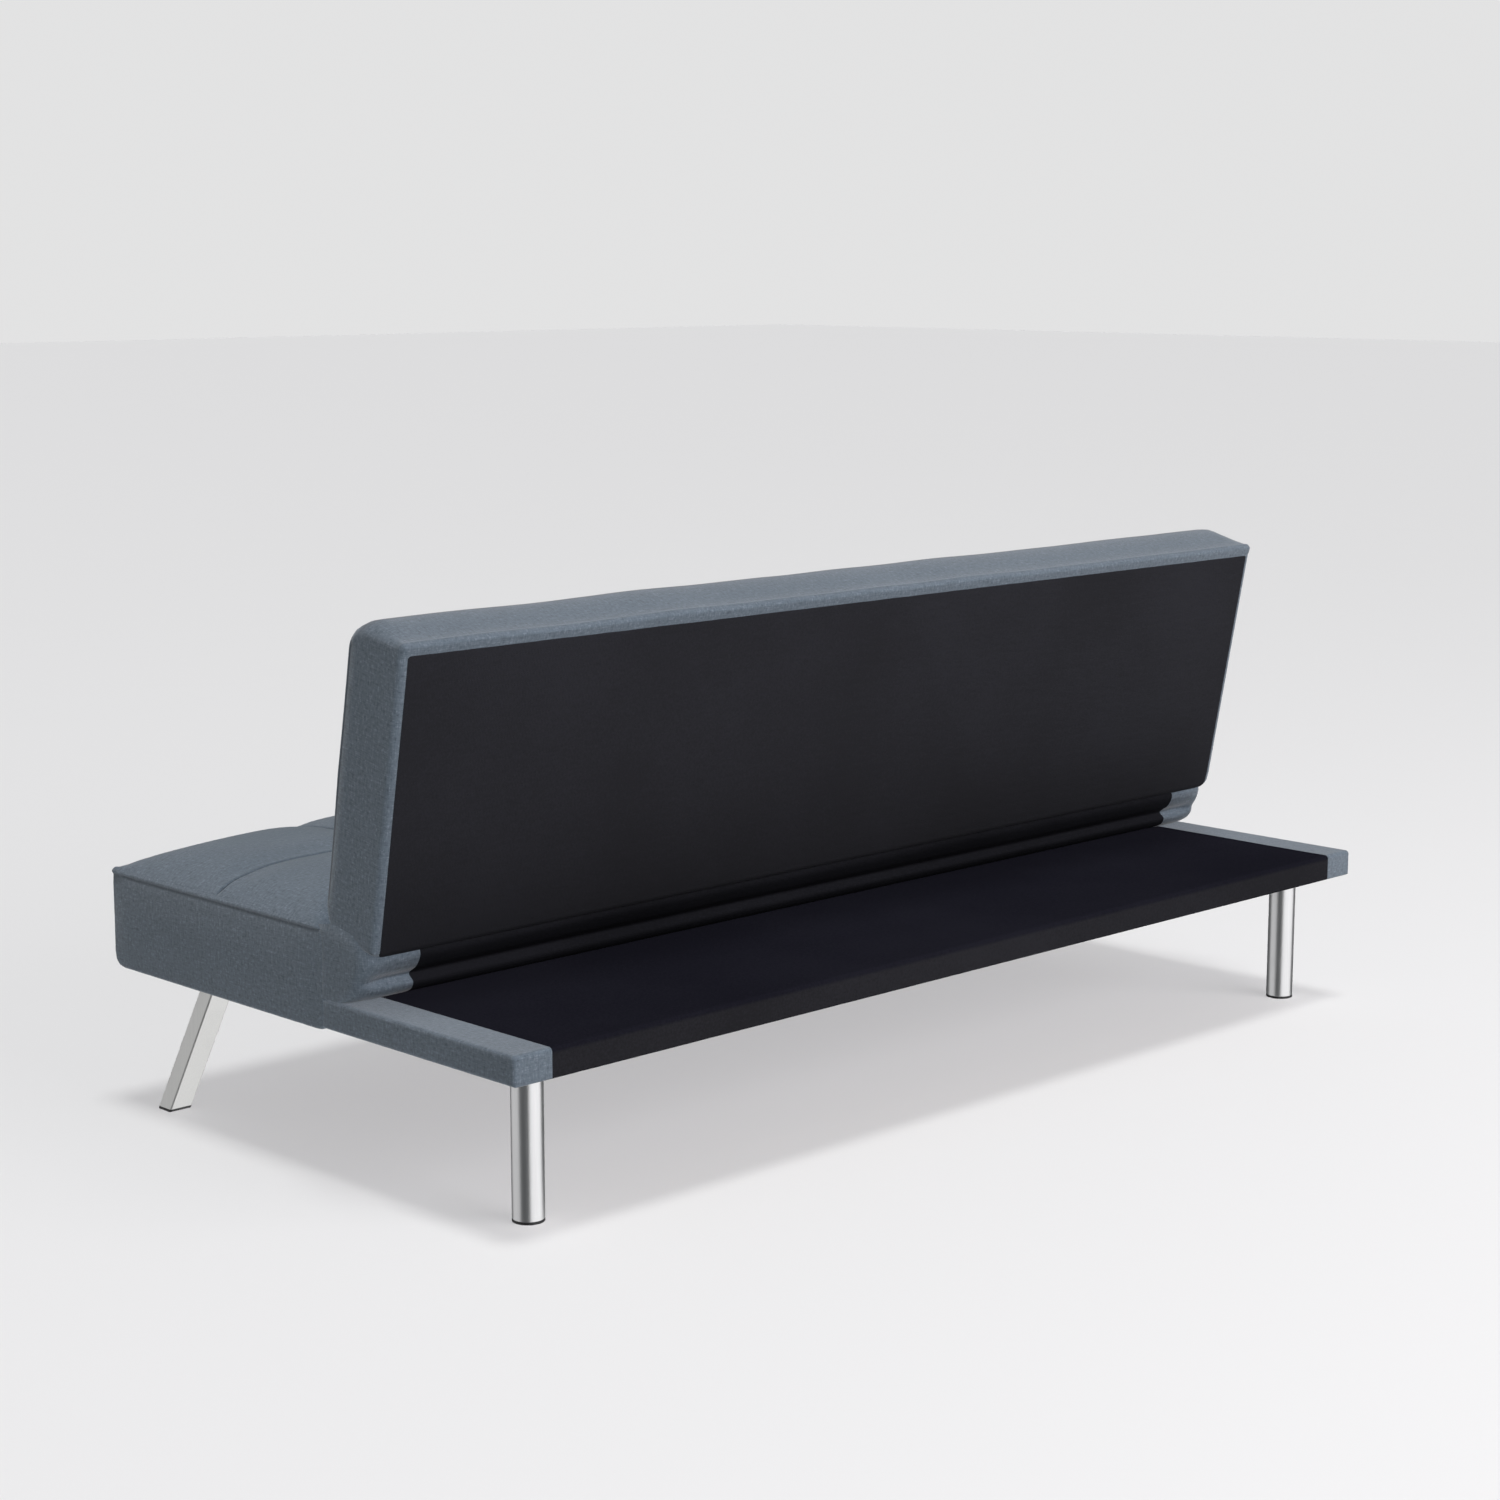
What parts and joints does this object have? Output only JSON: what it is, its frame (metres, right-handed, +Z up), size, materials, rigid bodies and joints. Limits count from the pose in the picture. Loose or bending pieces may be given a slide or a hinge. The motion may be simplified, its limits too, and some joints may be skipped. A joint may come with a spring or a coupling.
{
  "type": "futon sofa bed",
  "caption": "Armless click-clack futon sofa bed: padded seat, reclining backrest that lies down on a rear platform, slanted front legs and round rear legs.",
  "frame": {"origin": "on the floor, under the middle of the sofa's width and depth", "axes": "+X along the sofa (a sitter's left), +Y from the seat front to the rear platform, +Z up"},
  "size_m": [1.68, 0.845, 0.705],
  "materials": {
    "grey_cloth": "matte",
    "black_cloth": "matte",
    "foam": "matte",
    "wood": "matte",
    "board": "matte",
    "chrome": "polished",
    "satin_metal": "satin",
    "black_plastic": "matte",
    "hinge_steel": "satin",
    "zinc": "satin"
  },
  "bodies": {
    "base": {"crease_cloth": "grey_cloth", "dust_cover": "black_cloth", "frame_front_rail": "wood", "frame_hinge_rail": "wood", "frame_platform_brace_left": "wood", "frame_platform_brace_right": "wood", "frame_platform_rail": "wood", "frame_rear_rail": "wood", "frame_seat_brace_left": "wood", "frame_seat_brace_right": "wood", "frame_side_rail_left": "wood", "frame_side_rail_right": "wood", "front_glide_left": "black_plastic", "front_glide_right": "black_plastic", "front_leg_bolt_left": "zinc", "front_leg_bolt_right": "zinc", "front_leg_left": "satin_metal", "front_leg_right": "satin_metal", "gusset_back": "black_cloth", "gusset_end_left": "grey_cloth", "gusset_end_right": "grey_cloth", "hinge_base_plate_left": "hinge_steel", "hinge_base_plate_right": "hinge_steel", "pivot_bolt_left": "zinc", "pivot_bolt_right": "zinc", "pivot_nut_left": "zinc", "pivot_nut_right": "zinc", "platform_board": "board", "platform_cover": "black_cloth", "platform_end_left": "grey_cloth", "platform_end_right": "grey_cloth", "rear_glide_left": "black_plastic", "rear_glide_right": "black_plastic", "rear_leg_bolt_left": "zinc", "rear_leg_bolt_right": "zinc", "rear_leg_left": "chrome", "rear_leg_right": "chrome", "seat_cover": "grey_cloth", "seat_foam": "foam", "seat_slat_1": "wood", "seat_slat_2": "wood", "seat_slat_3": "wood", "seat_slat_4": "wood", "seat_slat_5": "wood"},
    "backrest": {"back_bottom_rail": "wood", "back_cover": "grey_cloth", "back_foam": "foam", "back_middle_stile_left": "wood", "back_middle_stile_right": "wood", "back_panel": "black_cloth", "back_stile_left": "wood", "back_stile_right": "wood", "back_top_rail": "wood", "hinge_back_arm_left": "hinge_steel", "hinge_back_arm_right": "hinge_steel", "pawl_pin_left": "zinc", "pawl_pin_right": "zinc"},
    "pawl_left": {"pawl_left": "zinc"},
    "pawl_right": {"pawl_right": "zinc"}
  },
  "joints": [
    {"name": "recline", "type": "hinge", "parent": "base", "child": "backrest", "pos_m": [0, 0.1042, 0.2763], "axis": [-1, 0, 0], "range_deg": [-5, 79.7], "deforming": ["gusset_back", "gusset_end_left", "gusset_end_right", "crease_cloth"]},
    {"name": "pawl_left_swing", "type": "hinge", "parent": "backrest", "child": "pawl_left", "pos_m": [0.785, 0.08881, 0.30349], "axis": [-1, 0, 0], "range_deg": [0, 5], "stiffness_Nm_per_rad": 0.2},
    {"name": "pawl_right_swing", "type": "hinge", "parent": "backrest", "child": "pawl_right", "pos_m": [-0.785, 0.08881, 0.30349], "axis": [-1, 0, 0], "range_deg": [0, 5], "stiffness_Nm_per_rad": 0.2}
  ]
}
